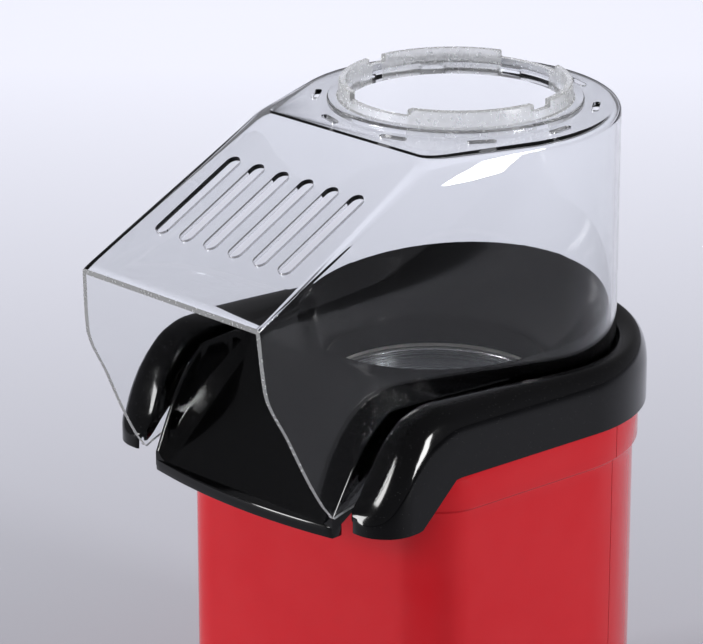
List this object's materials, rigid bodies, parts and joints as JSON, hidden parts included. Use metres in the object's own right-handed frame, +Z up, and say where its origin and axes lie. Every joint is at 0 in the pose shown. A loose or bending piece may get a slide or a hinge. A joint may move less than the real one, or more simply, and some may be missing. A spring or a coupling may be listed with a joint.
{
  "type": "hot-air popcorn maker",
  "caption": "Round hot-air popper with a red body, a black collar, a bowl with a front chute and a clear hooded lift-off cover.",
  "frame": {"origin": "centre of the whole outline seen from above, on the plane that the feet rest on", "axes": "+Z up, -Y towards the chute's mouth, +X to the right as seen from the chute's side"},
  "size_m": [0.1492, 0.2218, 0.2803],
  "materials": {
    "red_body": "moulded ABS, glossy red",
    "black_gloss": "moulded ABS, glossy black",
    "black_base": "moulded plastic, fine matt texture",
    "clear_cover": "clear moulded plastic, polished",
    "chamber_metal": "drawn aluminium, lightly brushed",
    "steel": "zinc plated steel",
    "heating_wire": "oxidised resistance wire",
    "rubber": "moulded rubber",
    "silicone": "moulded silicone",
    "mica": "pressed mica board",
    "laminate": "phenolic paper laminate",
    "fan_plastic": "moulded nylon, natural"
  },
  "bodies": {
    "machine": {"base_plate": "black_base", "foot_1": "rubber", "foot_2": "rubber", "foot_3": "rubber", "foot_4": "rubber", "front_shell": "red_body", "rear_shell": "red_body", "collar": "black_gloss", "bowl_and_chute": "black_gloss", "popping_chamber": "chamber_metal", "chamber_gasket": "silicone", "air_duct": "steel", "chamber_screw_1": "steel", "chamber_screw_2": "steel", "chamber_screw_3": "steel", "motor_deck": "black_base", "deck_screw_1": "steel", "deck_screw_2": "steel", "deck_screw_3": "steel", "deck_screw_4": "steel", "mica_board_long": "mica", "mica_board_cross": "mica", "heating_coil": "heating_wire", "thermostat": "black_base", "thermal_fuse": "steel", "motor": "steel", "motor_screw_1": "steel", "motor_screw_2": "steel", "rectifier_board": "laminate", "diode_1": "black_base", "diode_2": "black_base", "diode_3": "black_base", "diode_4": "black_base", "switch_housing": "black_base", "cord_gland": "rubber", "base_screw_1": "steel", "base_screw_2": "steel", "base_screw_3": "steel", "base_screw_4": "steel"},
    "cover": {"clear_cover": "clear_cover"},
    "rotor": {"motor_shaft": "steel", "fan": "fan_plastic"},
    "rocker": {"power_rocker": "black_gloss"}
  },
  "joints": [
    {"name": "cover_lift", "type": "slide", "parent": "machine", "child": "cover", "axis": [0, 0, 1], "range_m": [0, 0.12]},
    {"name": "fan_spin", "type": "hinge", "parent": "machine", "child": "rotor", "pos_m": [0, 0.0253, 0.05], "axis": [0, 0, 1], "continuous": true},
    {"name": "rocker_tip", "type": "hinge", "parent": "machine", "child": "rocker", "pos_m": [0, 0.1063, 0.062], "axis": [1, 0, 0], "range_deg": [0, 14]}
  ]
}
